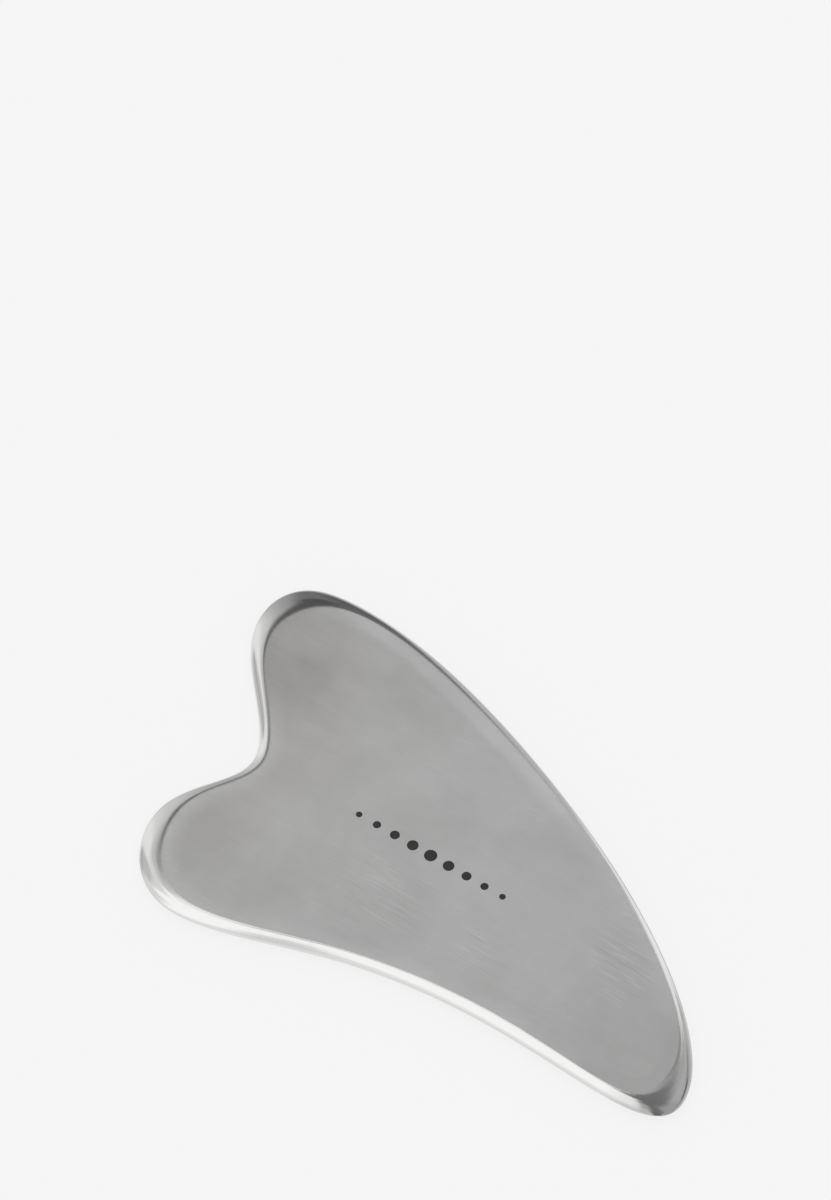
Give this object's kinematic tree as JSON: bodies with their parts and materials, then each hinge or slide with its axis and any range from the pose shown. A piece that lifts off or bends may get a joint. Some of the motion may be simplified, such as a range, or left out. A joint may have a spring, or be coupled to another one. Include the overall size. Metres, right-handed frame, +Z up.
{
  "type": "gua sha scraper",
  "caption": "Flat steel facial scraper with a heart end, a convex back, a concave edge and a blunt tip, rounded all round.",
  "frame": {"origin": "centre of the plate's bounding rectangle, in the plane of its lower face", "axes": "+X from the heart end to the tip, +Y to the side of the upper lobe, +Z up, out of the printed face"},
  "size_m": [0.0932, 0.0602, 0.003],
  "materials": {
    "steel": "stainless steel, fine satin faces with faint grinding lines, edges polished brighter",
    "ink": "matt near-black printed ink"
  },
  "bodies": {
    "root": {"scraper_body": "steel", "printed_dot_1": "ink", "printed_dot_2": "ink", "printed_dot_3": "ink", "printed_dot_4": "ink", "printed_dot_5": "ink", "printed_dot_6": "ink", "printed_dot_7": "ink", "printed_dot_8": "ink", "printed_dot_9": "ink"}
  },
  "joints": []
}
